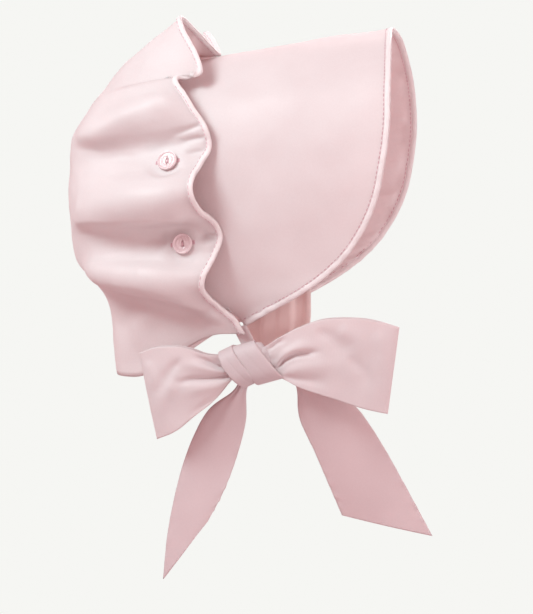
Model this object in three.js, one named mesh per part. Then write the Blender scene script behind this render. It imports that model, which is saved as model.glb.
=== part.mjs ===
// A baby sun bonnet in thin cotton, modelled as it hangs on a head.
//
// The wearer faces -Y, the wearer's right side is -X and +Z is up, in millimetres. The origin
// is the head seat: the inside of the brim's top, on the mid-plane.
//
// A wide brim wraps the face from jaw to jaw. The crown, one flat-cut piece, is buttoned over
// the brim's back edge: its bound edge is longer than the brim, so it lifts into flutes between
// the buttons, and below the last buttons it hangs as a neck flap. Wide ties leave the jaw
// corners and are tied in a flat bow beside the right jaw.
import * as THREE from 'three';

// ---- driving dimensions ----
const CLOTH_WALL = 1.5;
const BRIM_WALL = 2.0;
const RIBBON_WALL = 1.2;
const BINDING_WIDTH = 3.4;
const BINDING_THICKNESS = 2.8;
const GAP = 0.35;
const SEAM_GAP = 0.9;
const BUTTON_DIAMETER = 12.7;
const BUTTON_THICKNESS = 2.6;
const BUTTON_SETBACK = 25;
const SEAT_LIFT = 2.2;

const CROWN_STEPS = 42;
const CROWN_ROWS = 9;
const BRIM_STEPS = 18;
const BRIM_ROWS = 7;
const LOOP_GRID = [24, 5];
const TAIL_GRID = [14, 4];
const TIE_GRID = [12, 3];
const BUTTON_SEGMENTS = 15;

const RIGHT = -1;
const LEFT = 1;

// ---- colours ----
const CLOTH_COLOUR = 0xf0dadd;
const BINDING_COLOUR = 0xf3e6e6;
const BUTTON_COLOUR = 0xf4ecea;

// The crown's bound edge from the top button's tab to the jaw corner. A row holds the distance
// from the mid-plane, y, z, and the station of BACK_LINE where the fold that starts there ends.
const EDGE_RIGHT_TOP = [
  [0, -13, 4.7, 0], // tab at the top button
  [9, -3.5, 16, 0.04],
  [18, 8, 28.5, 0.15], // crest of the tall top flute
  [27, 5.5, 21, 0.4],
  [37, -4, 5.5, 0.8],
];
const EDGE_LEFT_TOP = [
  [0, -13, 4.7, 0],
  [10, -10.5, 8.5, 0.04],
  [19, -6, 14.5, 0.15],
  [28, -1, 17.5, 0.4], // crest of the lower top flute
  [38, -2, 6.5, 0.8],
];
const EDGE_SIDE = [
  [45, -7.5, -4, 1.15],
  [48.3, -3, -10.8, 1.4], // notch below the top flute
  [52.5, 0.5, -17.5, 1.75],
  [58.5, -6, -26, 2.35],
  [62, -13.5, -37, 3],
  [62, -16.5, -50, 3.8], // tab at the first side button
  [66, -12, -59.5, 4.3],
  [74, -8, -68, 4.75],
  [77, -7.5, -77, 5.2], // crest
  [70, -11.5, -87, 5.7],
  [62, -20, -96.5, 6.3],
  [60.8, -23, -106, 6.75], // tab at the second side button
  [64, -19.5, -117, 7.05],
  [70, -14.2, -128.5, 7.3], // crest
  [67, -13.5, -138, 7.6],
  [58, -21, -147, 8.2],
  [54, -30, -155, 9.2],
  [51.5, -35.5, -165, 11], // jaw corner
];
// The back of the crown on the mid-plane, y and z, from the top of the head to the flap's hem.
const BACK_LINE = [
  [44, 1], [57, -13], [70, -29], [79.5, -46], [81, -66], [81, -88],
  [80.5, -108], [77, -124], [65, -137], [57.5, -150], [54, -171], [51.5, -194],
];
const FLAP_START = 7.5; // station of BACK_LINE below which the folds drop as a neck flap

// The brim's two long edges from the top to the jaw corner: distance from the mid-plane, y, z.
const BRIM_BACK = [
  [0, 24, -4], [20, 24, -7.5], [36, 24, -17], [48, 24, -33], [54, 23, -54], [54.5, 20, -80],
  [53, 15.5, -105], [51, 8, -126], [48.5, -1, -142], [47, -11, -149], [46.5, -24, -150],
];
const BRIM_FRONT = [
  [0, -120.5, 22], [26, -122.5, 16.5], [46, -124.5, 3], [62, -126, -14], [71, -126.4, -38],
  [74, -123.5, -62], [73, -119, -82], [70, -110.5, -101], [66, -96.5, -120], [60, -73, -139],
  [46.5, -34.5, -160.5],
];
const BRIM_LEFT_DROP = 4; // the left side hangs this much further forward and down

// Where the side buttons sit, as stations of the whole bound edge.
const SIDE_BUTTON_STATIONS = [10.6, 16];

// The bow lies in a plane that faces -X. Its rows are distances from the knot's centre: forward
// (towards -Y) and up. Each loop is given by its upper and lower borders from knot to fold.
const KNOT_CENTRE = new THREE.Vector3(-60, -40.7, -182.5);
const KNOT_SIZE = { length: 32, width: 24, depth: 18, tilt: -0.81 };
const LOOPS = {
  bow_loop_back: {
    upper: [[-17, 3.5], [-28, 4.5], [-41, 9.5], [-57, 9], [-69.5, 5]],
    lower: [[-15.5, -7], [-22, -22], [-37, -34], [-47, -42], [-58, -47]],
  },
  bow_loop_front: {
    upper: [[16.5, 8], [26, 20], [45, 27.5], [68, 28], [91, 22]],
    lower: [[19, -4], [32, -16], [50, -21], [67, -26.5], [84, -30]],
  },
};
const LOOP_DEPTH = 7; // half the gap between a loop's two layers
const LOOP_PUFF = 2.5;
const TAIL_CURL = 2.5;
// A tail is given by its two borders from the knot to the cut end, and how far it stands out.
const TAILS = {
  tail_back: {
    left: [[-9, -16.5], [-31, -36], [-46, -66], [-53, -100], [-54, -134]],
    right: [[-3, -20], [-5, -36], [-15, -64], [-24, -93], [-40, -118]],
    out: [[-5], [-7], [-9], [-6], [-4]],
  },
  tail_front: {
    left: [[24, -15], [27, -34], [37, -57], [47, -78], [53, -95.5]],
    right: [[36, -13], [63, -27], [78, -48], [94, -77], [109, -107]],
    out: [[-12], [-13], [-15], [-18], [-22]],
  },
};
// A tie's cross-sections from the jaw corner to the knot: the two borders of the ribbon.
const TIES = {
  tie_right: [
    [[-49, -29.5, -167.5], [-49, -38, -167]],
    [[-48.3, -33, -172], [-48.3, -42, -171.5]],
    [[-48.6, -36, -178], [-48.6, -44, -177.5]],
  ],
  tie_left: [
    [[44.5, -25, -165], [49.5, -62, -153]],
    [[31, -25, -177], [36, -63, -167]],
    [[-5, -38, -181], [-4, -53, -174]],
    [[-30, -38, -180], [-30, -49, -174]],
    [[-45.5, -37, -179], [-45.5, -46, -174]],
  ],
};

// ---- shared geometry ----

/** A Catmull-Rom spline through rows of numbers, at station t. */
function spline(rows, t) {
  const last = rows.length - 1;
  const i = Math.min(Math.max(Math.floor(t), 0), last - 1);
  const f = t - i;
  const before = i > 0 ? rows[i - 1] : rows[0].map((v, k) => 2 * v - rows[1][k]);
  const after = i + 2 <= last ? rows[i + 2] : rows[last].map((v, k) => 2 * v - rows[last - 1][k]);
  return rows[i].map((b, k) => {
    const [a, c, d] = [before[k], rows[i + 1][k], after[k]];
    const [cubic, square] = [3 * b - a - 3 * c + d, 2 * a - 5 * b + 4 * c - d];
    return 0.5 * (2 * b + (c - a) * f + square * f * f + cubic * f * f * f);
  });
}

/** The same for a side's rows, which leave the mid-plane square to it. */
function sideSpline(rows, t) {
  const [x, ...others] = rows[1];
  return spline([[-x, ...others], ...rows], t + 1);
}

/** The closed mesh of a list of points and triangles. */
function solid(points, faces) {
  const geometry = new THREE.BufferGeometry();
  geometry.setAttribute('position', new THREE.Float32BufferAttribute(points.flatMap(p => p.toArray()), 3));
  geometry.setIndex(faces.flat());
  geometry.computeVertexNormals();
  return geometry;
}

/** Two triangles for each cell of a grid, whose vertex numbers come from at(i, j). */
function gridFaces(columns, rows, at) {
  const faces = [];
  for (let i = 0; i < columns; i++) {
    for (let j = 0; j < rows; j++) {
      const [a, b, c, d] = [at(i, j), at(i + 1, j), at(i + 1, j + 1), at(i, j + 1)];
      if (a !== b && b !== c && a !== c) faces.push([a, b, c]);
      if (a !== c && c !== d && a !== d) faces.push([a, c, d]);
    }
  }
  return faces;
}

/** A sheet of points and triangles given a wall, on the side that its normals point away from. */
function thicken(points, faces, wall) {
  const normals = points.map(() => new THREE.Vector3());
  for (const [a, b, c] of faces) {
    const normal = new THREE.Vector3().subVectors(points[b], points[a]);
    normal.cross(new THREE.Vector3().subVectors(points[c], points[a]));
    for (const k of [a, b, c]) normals[k].add(normal);
  }
  const inner = points.map((p, k) => p.clone().addScaledVector(normals[k].normalize(), -wall));
  const edges = new Map();
  for (const [a, b, c] of faces) {
    for (const [p, q] of [[a, b], [b, c], [c, a]]) {
      if (!edges.delete(`${q} ${p}`)) edges.set(`${p} ${q}`, [p, q]);
    }
  }
  const n = points.length;
  const back = faces.map(([a, b, c]) => [n + a, n + c, n + b]);
  const rim = [...edges.values()].flatMap(([p, q]) => [[p, n + p, q], [q, n + p, n + q]]);
  return solid([...points, ...inner], [...faces, ...back, ...rim]);
}

/** A closed sweep: rings of equal length, joined in order and capped at both ends. */
function sweep(rings) {
  const sides = rings[0].length;
  const points = rings.flat();
  const faces = gridFaces(rings.length - 1, sides, (i, j) => i * sides + (j % sides));
  const end = (rings.length - 1) * sides;
  for (let k = 1; k < sides - 1; k++) {
    faces.push([0, k, k + 1]);
    faces.push([end, end + k + 1, end + k]);
  }
  return solid(points, faces);
}

/** How far in from a bound edge its cloth starts, as a share of point's second argument. */
function clothStart(point, t) {
  const step = 0.03;
  const tangent = point(t + 0.01, 0).sub(point(t - 0.01, 0)).normalize();
  const inward = point(t, step).sub(point(t, 0));
  const across = inward.addScaledVector(tangent, -inward.dot(tangent)).length();
  return step * (BINDING_WIDTH + SEAM_GAP) / across;
}

/** A flat-sided binding wrapped on an edge, from edge points and points inside the cloth. */
function bindingRings(edge, inside) {
  const [halfWidth, halfThickness] = [BINDING_WIDTH / 2, BINDING_THICKNESS / 2];
  const section = [
    [-1, 0.45], [-0.55, 1], [1, 1], [1, -1], [-0.55, -1], [-1, -0.45],
  ];
  return edge.map((point, k) => {
    const ahead = edge[Math.min(k + 1, edge.length - 1)];
    const tangent = ahead.clone().sub(edge[Math.max(k - 1, 0)]).normalize();
    const inward = inside[k].clone().sub(point);
    inward.addScaledVector(tangent, -inward.dot(tangent)).normalize();
    const normal = new THREE.Vector3().crossVectors(tangent, inward);
    const centre = point.clone().addScaledVector(inward, halfWidth);
    return section.map(([u, v]) => centre.clone()
      .addScaledVector(inward, u * halfWidth).addScaledVector(normal, v * halfThickness));
  });
}

// ---- crown ----

const smooth = x => x * x * (3 - 2 * x);
const clamp = x => Math.min(Math.max(x, 0), 1);

/** The bound edge's row at station t of one side. */
function edgeRow(t, side) {
  return sideSpline([...(side === RIGHT ? EDGE_RIGHT_TOP : EDGE_LEFT_TOP), ...EDGE_SIDE], t);
}
const EDGE_STATIONS = EDGE_RIGHT_TOP.length + EDGE_SIDE.length - 1;

/** A crown point: station t along the bound edge, r from that edge (0) to the back line (1). */
function crownPoint(t, r, side) {
  const [x, y, z, station] = edgeRow(t, side);
  const [backY, backZ] = spline(BACK_LINE, station);
  const turn = Math.sin(r * Math.PI / 2);
  const flap = clamp((station - FLAP_START) / (BACK_LINE.length - 1 - FLAP_START));
  const drop = turn + (smooth(clamp((turn - 0.15) / 0.7)) - turn) * flap;
  return new THREE.Vector3(side * x * Math.cos(r * Math.PI / 2), y + (backY - y) * turn,
    z + (backZ - z) * drop);
}

/** Where a button sits: BUTTON_SETBACK behind the bound edge at station t. */
function buttonSeat(t, side) {
  const depth = crownPoint(t, 0, side).distanceTo(crownPoint(t, 0.1, side));
  const r = 0.1 * BUTTON_SETBACK / depth;
  const centre = crownPoint(t, r, side);
  const back = crownPoint(t, r + 0.05, side).sub(centre);
  const above = t > 0 ? crownPoint(t - 0.2, r, side) : crownPoint(0.2, r, -side);
  const below = t > 0 ? crownPoint(t + 0.2, r, side) : crownPoint(0.2, r, side);
  if (t === 0) above.z = below.z;
  const normal = back.cross(below.sub(above)).multiplyScalar(-side).normalize();
  return { side, centre, normal };
}
const seats = [buttonSeat(0, LEFT)];
for (const t of SIDE_BUTTON_STATIONS) seats.push(buttonSeat(t, RIGHT), buttonSeat(t, LEFT));

/** The same point, with the cloth pressed flat under a button that is near it. */
function pressedPoint(t, r, side) {
  const point = crownPoint(t, r, side);
  for (const { centre, normal } of seats) {
    const offset = point.clone().sub(centre);
    const height = offset.dot(normal);
    const away = Math.sqrt(Math.max(offset.lengthSq() - height * height, 0));
    const press = smooth(clamp((BUTTON_DIAMETER * 1.2 - away) / (BUTTON_DIAMETER * 0.55)));
    if (Math.abs(height) < BUTTON_DIAMETER) point.addScaledVector(normal, -height * press);
  }
  return point;
}

function crown() {
  const points = [];
  const number = new Map();
  for (let i = -CROWN_STEPS; i <= CROWN_STEPS; i++) {
    const side = i < 0 ? RIGHT : LEFT;
    const t = Math.abs(i) / CROWN_STEPS * EDGE_STATIONS;
    const start = clothStart((along, r) => crownPoint(along, r, side), t);
    for (let j = 0; j <= CROWN_ROWS; j++) {
      const key = j === CROWN_ROWS ? `back ${Math.abs(i)}` : `${i} ${j}`;
      if (!number.has(key)) {
        points.push(pressedPoint(t, start + (1 - start) * j / CROWN_ROWS, side));
        number.set(key, points.length - 1);
      }
    }
  }
  const at = (i, j) => {
    const k = i - CROWN_STEPS;
    return number.get(j === CROWN_ROWS ? `back ${Math.abs(k)}` : `${k} ${j}`);
  };
  return thicken(points, gridFaces(2 * CROWN_STEPS, CROWN_ROWS, at), CLOTH_WALL);
}

function crownBinding() {
  const steps = 2 * CROWN_STEPS;
  const border = r => Array.from({ length: steps + 1 }, (_, k) => {
    const t = (k - CROWN_STEPS) / CROWN_STEPS * EDGE_STATIONS;
    return crownPoint(Math.abs(t), r, t < 0 ? RIGHT : LEFT);
  });
  return sweep(bindingRings(border(0), border(0.04)));
}

// ---- brim ----

/** A brim point: u from the right jaw (-1) over the top to the left jaw (1), v back to front. */
function brimPoint(u, v) {
  const t = Math.abs(u) * (BRIM_FRONT.length - 1);
  const [bx, by, bz] = sideSpline(BRIM_BACK, t);
  const [fx, fy, fz] = sideSpline(BRIM_FRONT, t);
  const drop = u > 0 ? BRIM_LEFT_DROP * v * Math.sin(u * Math.PI) : 0;
  return new THREE.Vector3(Math.sign(u) * (bx + (fx - bx) * v), by + (fy - by) * v - drop / 4,
    bz + (fz - bz) * v - drop);
}

function brim() {
  const points = [];
  for (let i = -BRIM_STEPS; i <= BRIM_STEPS; i++) {
    const u = i / BRIM_STEPS;
    const end = 1 - clothStart((along, inward) => brimPoint(along, 1 - inward), u);
    for (let j = 0; j <= BRIM_ROWS; j++) points.push(brimPoint(u, end * (1 - j / BRIM_ROWS)));
  }
  const at = (i, j) => i * (BRIM_ROWS + 1) + j;
  return thicken(points, gridFaces(2 * BRIM_STEPS, BRIM_ROWS, at), BRIM_WALL);
}

function brimBinding() {
  const steps = 3 * BRIM_STEPS;
  const at = v => Array.from({ length: steps + 1 }, (_, k) => brimPoint(2 * k / steps - 1, v));
  return sweep(bindingRings(at(1), at(0.97)));
}

// ---- buttons ----

/** A round button with a raised rim, its axis along +Z and its back at z = 0. */
function buttonShape() {
  const [radius, height] = [BUTTON_DIAMETER / 2, BUTTON_THICKNESS];
  const profile = [
    [0, 0], [radius * 0.8, 0], [radius, height * 0.4], [radius * 0.95, height * 0.85],
    [radius * 0.84, height], [radius * 0.7, height * 0.85], [radius * 0.6, height * 0.55],
    [0, height * 0.45],
  ];
  return new THREE.LatheGeometry(profile.map(([x, y]) => new THREE.Vector2(x, y)), BUTTON_SEGMENTS)
    .rotateX(Math.PI / 2);
}

// ---- bow ----

/** A point of the bow's plane: forward and up from the knot's centre, and out towards -X. */
function bowPoint(forward, up, out) {
  return KNOT_CENTRE.clone().add(new THREE.Vector3(-out, -forward, up));
}

/** A ribbon's closed wall from a grid of points: point(i, j) takes both shares from 0 to 1. */
function ribbonSolid([columns, rows], point, flipped = false) {
  const points = [];
  for (let i = 0; i <= columns; i++) {
    for (let j = 0; j <= rows; j++) points.push(point(i / columns, j / rows));
  }
  const at = (i, j) => i * (rows + 1) + (flipped ? rows - j : j);
  return thicken(points, gridFaces(columns, rows, at), RIBBON_WALL);
}

/** A loop: the ribbon runs out over the front layer, folds, and comes back behind it. */
function loopSolid({ upper, lower }, flipped) {
  return ribbonSolid(LOOP_GRID, (along, across) => {
    const angle = Math.PI * along;
    const reach = Math.sin(angle) * (upper.length - 1);
    const [top, bottom] = [spline(upper, reach), spline(lower, reach)];
    const open = 1.5 + LOOP_DEPTH * Math.sin(angle) ** 0.6;
    const puff = LOOP_PUFF * Math.sin(Math.PI * across) * Math.sin(angle);
    return bowPoint(top[0] + (bottom[0] - top[0]) * across, top[1] + (bottom[1] - top[1]) * across,
      Math.cos(angle) * (open + puff));
  }, flipped);
}

function tailSolid({ left, right, out }) {
  return ribbonSolid(TAIL_GRID, (along, across) => {
    const t = along * (left.length - 1);
    const [a, b, [depth]] = [spline(left, t), spline(right, t), spline(out, t)];
    return bowPoint(a[0] + (b[0] - a[0]) * across, a[1] + (b[1] - a[1]) * across,
      depth + TAIL_CURL * Math.sin(Math.PI * across));
  });
}

function tieSolid(sections) {
  return ribbonSolid(TIE_GRID, (along, across) => {
    const t = along * (sections.length - 1);
    const [a, b] = [0, 1].map(k => spline(sections.map(section => section[k]), t));
    return new THREE.Vector3(...a).lerp(new THREE.Vector3(...b), across);
  });
}

/** The knot: a rounded block, longer along the band that is wrapped slantwise over it. */
function knotSolid() {
  const geometry = new THREE.SphereGeometry(1, 18, 11);
  const position = geometry.getAttribute('position');
  const square = v => Math.sign(v) * Math.abs(v) ** 0.7;
  for (let k = 0; k < position.count; k++) {
    position.setXYZ(k, square(position.getX(k)) * KNOT_SIZE.depth / 2,
      square(position.getY(k)) * KNOT_SIZE.length / 2, square(position.getZ(k)) * KNOT_SIZE.width / 2);
  }
  geometry.rotateX(KNOT_SIZE.tilt);
  return geometry;
}

// ---- assembly ----

function piece(name, geometry, color, roughness) {
  const mesh = new THREE.Mesh(geometry, new THREE.MeshStandardMaterial({ color, roughness, metalness: 0 }));
  mesh.name = name;
  return mesh;
}

const bonnet = new THREE.Group();
bonnet.position.z = SEAT_LIFT;
bonnet.add(piece('crown', crown(), CLOTH_COLOUR, 0.85));
bonnet.add(piece('crown_binding', crownBinding(), BINDING_COLOUR, 0.8));
bonnet.add(piece('brim', brim(), CLOTH_COLOUR, 0.85));
bonnet.add(piece('brim_binding', brimBinding(), BINDING_COLOUR, 0.8));

const button = buttonShape();
seats.forEach(({ side, centre, normal }, k) => {
  const sideName = side === RIGHT ? 'right' : 'left';
  const name = k === 0 ? 'button_top' : `button_${sideName}_${Math.ceil(k / 2)}`;
  const mesh = piece(name, button, BUTTON_COLOUR, 0.35);
  mesh.position.copy(centre).addScaledVector(normal, 2 * GAP);
  mesh.quaternion.setFromUnitVectors(new THREE.Vector3(0, 0, 1), normal);
  bonnet.add(mesh);
});

for (const [name, sections] of Object.entries(TIES)) {
  bonnet.add(piece(name, tieSolid(sections), CLOTH_COLOUR, 0.85));
}
for (const [name, borders] of Object.entries(LOOPS)) {
  bonnet.add(piece(name, loopSolid(borders, name === 'bow_loop_front'), CLOTH_COLOUR, 0.85));
}
for (const [name, borders] of Object.entries(TAILS)) {
  bonnet.add(piece(name, tailSolid(borders), CLOTH_COLOUR, 0.85));
}
const knot = piece('bow_knot', knotSolid(), CLOTH_COLOUR, 0.85);
knot.position.copy(KNOT_CENTRE);
bonnet.add(knot);

export default bonnet;
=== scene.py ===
import math

import bpy
import numpy as np
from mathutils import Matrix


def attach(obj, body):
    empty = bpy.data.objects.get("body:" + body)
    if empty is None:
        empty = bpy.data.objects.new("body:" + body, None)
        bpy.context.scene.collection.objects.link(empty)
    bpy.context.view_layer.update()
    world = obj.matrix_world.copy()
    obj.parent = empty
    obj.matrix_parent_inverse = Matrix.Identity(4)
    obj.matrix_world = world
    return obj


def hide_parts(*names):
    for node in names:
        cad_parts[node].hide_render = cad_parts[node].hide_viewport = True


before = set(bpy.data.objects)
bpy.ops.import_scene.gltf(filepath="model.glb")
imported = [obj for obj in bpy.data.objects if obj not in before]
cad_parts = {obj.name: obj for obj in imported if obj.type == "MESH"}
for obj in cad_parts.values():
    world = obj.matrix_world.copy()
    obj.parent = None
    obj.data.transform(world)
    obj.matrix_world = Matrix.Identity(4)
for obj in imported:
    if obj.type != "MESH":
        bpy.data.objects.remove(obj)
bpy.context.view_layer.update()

MM = 0.001
SEAT_LIFT = 2.2

# ---------------------------------------------------------------- camera

AZIMUTH, ELEVATION = math.radians(-82), math.radians(4)
VIEW_WIDTH = 330.5 * MM      # how much of the object's plane the picture shows, side to side
VIEW_CENTRE = (41.2, -149.7)  # the picture's centre, right of and above the head seat, in mm
CAMERA_DISTANCE = 3.4
CAMERA_REACH = 100
SENSOR = 36


def view_axes():
    """The camera's right, up and backward directions."""
    a, e = AZIMUTH, ELEVATION
    right = np.array([math.cos(a), math.sin(a), 0])
    up = np.array([-math.sin(a) * math.sin(e), math.cos(a) * math.sin(e), math.cos(e)])
    back = np.array([math.sin(a) * math.cos(e), -math.cos(a) * math.cos(e), math.sin(e)])
    return right, up, back


def add_camera():
    right, up, back = view_axes()
    data = bpy.data.cameras.new("camera")
    data.sensor_width = SENSOR
    data.sensor_fit = "HORIZONTAL"
    data.lens = SENSOR * CAMERA_DISTANCE / VIEW_WIDTH
    data.clip_end = CAMERA_REACH
    camera = bpy.data.objects.new("camera", data)
    bpy.context.scene.collection.objects.link(camera)
    target = (right * VIEW_CENTRE[0] + up * VIEW_CENTRE[1]) * MM
    camera.location = target + back * CAMERA_DISTANCE
    camera.rotation_euler = (math.pi / 2 - ELEVATION, 0, AZIMUTH)
    bpy.context.scene.camera = camera


add_camera()

# ---------------------------------------------------------------- driving rows, in mm

RIGHT, LEFT = -1, 1
CLOTH_WALL = 1.0
BRIM_WALL = 1.6
RIBBON_WALL = 1.0
BINDING_WIDTH = 3.5
BINDING_THICKNESS = 2.4
EDGE_STEP = 0.7
BUTTON_DIAMETER = 12.7
BUTTON_SETBACK = 25

# The crown's bound edge from the top button's tab to the jaw corner: distance from the
# mid-plane, y, z, and the station of BACK_LINE where the fold that starts there ends.
EDGE_RIGHT_TOP = [
    [0, -13, 4.7, 0],
    [9, -3.5, 16, 0.04],
    [18, 8, 28.5, 0.15],
    [27, 5.5, 21, 0.4],
    [37, -4, 6.5, 0.75],
]
EDGE_LEFT_TOP = [
    [0, -13, 4.7, 0],
    [10, -10.5, 8.5, 0.04],
    [19, -6, 14.5, 0.15],
    [28, -1, 17.5, 0.4],
    [38, -2, 6.5, 0.8],
]
EDGE_SIDE = [
    [43.5, -8.2, -5, 1.0],
    [44.5, -1.5, -8.6, 1.3],
    [48.5, 6.2, -9.5, 1.6],
    [52.5, 0.8, -18, 1.9],
    [58, -5.6, -26.5, 2.35],
    [62, -13.5, -37, 3],
    [62, -16.5, -50, 3.8],
    [66, -12, -59.5, 4.3],
    [74, -8, -68, 4.75],
    [77, -7.5, -77, 5.2],
    [70, -11.5, -87, 5.7],
    [62, -20, -96.5, 6.3],
    [60.8, -23, -106, 6.75],
    [64, -19.5, -117, 7.05],
    [70, -14.2, -128.5, 7.3],
    [67, -13.5, -138, 7.6],
    [58, -21, -147, 8.2],
    [54, -30, -155, 9.2],
    [51.5, -35.5, -165, 11],
]
BACK_LINE = [
    [44, 1], [57, -13], [70, -29], [79.5, -46], [81, -66], [81, -88],
    [80.5, -108], [77, -124], [65, -137], [57.5, -150], [54, -171], [51.5, -194],
]
FLAP_START = 7.5
EDGE_STATIONS = len(EDGE_RIGHT_TOP) + len(EDGE_SIDE) - 1

BRIM_BACK = [
    [0, 24, -4], [20, 24, -7.5], [36, 24, -17], [48, 24, -33], [54, 23, -54], [54.5, 20, -80],
    [53, 15.5, -105], [51, 8, -126], [48.5, -1, -142], [47, -11, -149], [46.5, -24, -150],
]
BRIM_FRONT = [
    [0, -120.5, 22], [26, -122.5, 16.5], [46, -124.5, 3], [62, -126, -14], [71, -126.4, -38],
    [74, -123.5, -62], [73, -119, -82], [70, -110.5, -101], [66, -96.5, -120], [60, -73, -139],
    [46.5, -34.5, -160.5],
]
BRIM_LEFT_DROP = 4
SIDE_BUTTON_STATIONS = [11.6, 17]

# ---------------------------------------------------------------- shared geometry


def smooth(x):
    x = np.clip(x, 0, 1)
    return x * x * (3 - 2 * x)


def unit(v):
    return v / np.maximum(np.linalg.norm(v, axis=-1, keepdims=True), 1e-9)


def spline(rows, t):
    """A Catmull-Rom spline through rows of numbers, at stations t."""
    rows = np.asarray(rows, float)
    rows = np.vstack([2 * rows[0] - rows[1], rows, 2 * rows[-1] - rows[-2]])
    t = np.asarray(t, float)
    i = np.clip(np.floor(t).astype(int), 0, len(rows) - 4)
    f = (t - i)[..., None]
    a, b, c, d = (rows[i + k] for k in range(4))
    return 0.5 * (2 * b + (c - a) * f + (2 * a - 5 * b + 4 * c - d) * f ** 2
                  + (3 * b - a - 3 * c + d) * f ** 3)


def side_spline(rows, t):
    """The same for a side's rows, which leave the mid-plane square to it."""
    before = [-rows[1][0], *rows[1][1:]]
    return spline([before, *rows], np.asarray(t, float) + 1)


def ripples(points, wavelength, seed, waves=14):
    """Smooth noise from -1 to 1: a sum of plane waves about one wavelength long."""
    rng = np.random.default_rng(seed)
    total = np.zeros(points.shape[:-1])
    for _ in range(waves):
        direction = unit(rng.normal(size=points.shape[-1]))
        length = np.asarray(wavelength, float) * rng.uniform(0.7, 1.5)
        phase = rng.uniform(0, 2 * np.pi)
        total += np.sin((points * direction / length).sum(-1) * 2 * np.pi + phase)
    return total / math.sqrt(waves)


def numbered(shape):
    """The vertex numbers of a grid, row by row."""
    return np.arange(math.prod(shape)).reshape(shape)


def grid_faces(number):
    """Quads of a grid, from its vertex numbers."""
    return np.stack([number[:-1, :-1], number[1:, :-1], number[1:, 1:], number[:-1, 1:]],
                    -1).reshape(-1, 4)


def vertex_normals(points, faces):
    normal = np.cross(points[faces[:, 2]] - points[faces[:, 0]],
                      points[faces[:, 3]] - points[faces[:, 1]])
    total = np.zeros_like(points)
    for k in range(4):
        np.add.at(total, faces[:, k], normal)
    return unit(total)


def border_edges(faces):
    """The directed edges that only one face has."""
    edges = np.concatenate([faces[:, [k, (k + 1) % 4]] for k in range(4)])
    edges = edges[edges[:, 0] != edges[:, 1]]
    low, high = edges.min(1).astype(np.int64), edges.max(1).astype(np.int64)
    _, first, count = np.unique(low * (edges.max() + 1) + high, return_index=True,
                                return_counts=True)
    return edges[first[count == 1]]


def write_mesh(name, points, faces, uv=None):
    """A smooth-shaded mesh object in metres from points in mm."""
    mesh = bpy.data.meshes.new(name)
    points = (points + np.array([0, 0, SEAT_LIFT])) * MM
    tidy = []
    for face in faces.tolist():
        corners = list(dict.fromkeys(face))
        if len(corners) > 2:
            tidy.append(corners)
    mesh.from_pydata(points.tolist(), [], tidy)
    if uv is not None:
        layer = mesh.uv_layers.new(name="cloth")
        index = np.empty(len(mesh.loops), dtype=np.int32)
        mesh.loops.foreach_get("vertex_index", index)
        layer.data.foreach_set("uv", uv[index].astype(np.float32).ravel())
    mesh.polygons.foreach_set("use_smooth", [True] * len(mesh.polygons))
    mesh.update()
    piece = bpy.data.objects.new(name, mesh)
    bpy.context.scene.collection.objects.link(piece)
    return piece


def cloth_mesh(name, points, faces, wall, uv):
    """A closed cloth wall: the sheet, the same sheet wall lower, and a rim."""
    normals = vertex_normals(points, faces)
    wall = np.broadcast_to(np.asarray(wall, float), len(points))[:, None]
    count = len(points)
    edges = border_edges(faces)
    rim = np.stack([edges[:, 0], edges[:, 0] + count, edges[:, 1] + count, edges[:, 1]], -1)
    return write_mesh(name, np.vstack([points, points - normals * wall]),
                      np.vstack([faces, faces[:, ::-1] + count, rim]), np.vstack([uv, uv]))


def sweep_mesh(name, rings):
    """A closed sweep from an array of rings, capped at both ends."""
    steps, sides = rings.shape[:2]
    number = numbered((steps, sides))
    faces = grid_faces(np.hstack([number, number[:, :1]]))
    caps = []
    for k in range(1, sides // 2):
        a, b, c, d = k - 1, k, sides - 1 - k, (sides - k) % sides
        caps.append([number[0, d], number[0, a], number[0, b], number[0, c]])
        caps.append([number[-1, a], number[-1, d], number[-1, c], number[-1, b]])
    along = np.cumsum(np.r_[0, np.linalg.norm(np.diff(rings.mean(1), axis=0), axis=1)])
    uv = np.stack(np.broadcast_arrays(along[:, None],
                                      np.linspace(0, 8, sides)[None]), -1).reshape(-1, 2)
    return write_mesh(name, rings.reshape(-1, 3), np.vstack([faces, caps]), uv)


def finish_piece(piece, material, slot, *nodes):
    piece.data.materials.append(material)
    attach(piece, "root")
    if nodes:
        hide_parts(*nodes)
    return piece


# ---------------------------------------------------------------- crown


def edge_rows(t, side):
    return side_spline((EDGE_RIGHT_TOP if side == RIGHT else EDGE_LEFT_TOP) + EDGE_SIDE, t)


def crown_point(t, r, side):
    """Station t along the bound edge, r from that edge (0) to the back line (1)."""
    t, r = np.broadcast_arrays(np.asarray(t, float), np.asarray(r, float))
    x, y, z, station = np.moveaxis(edge_rows(t, side), -1, 0)
    back_y, back_z = np.moveaxis(spline(BACK_LINE, station), -1, 0)
    turn = np.sin(r * np.pi / 2)
    flap = np.clip((station - FLAP_START) / (len(BACK_LINE) - 1 - FLAP_START), 0, 1)
    drop = turn + (smooth((turn - 0.15) / 0.7) - turn) * flap
    return np.stack([side * x * np.cos(r * np.pi / 2), y + (back_y - y) * turn,
                     z + (back_z - z) * drop], -1)


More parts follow.
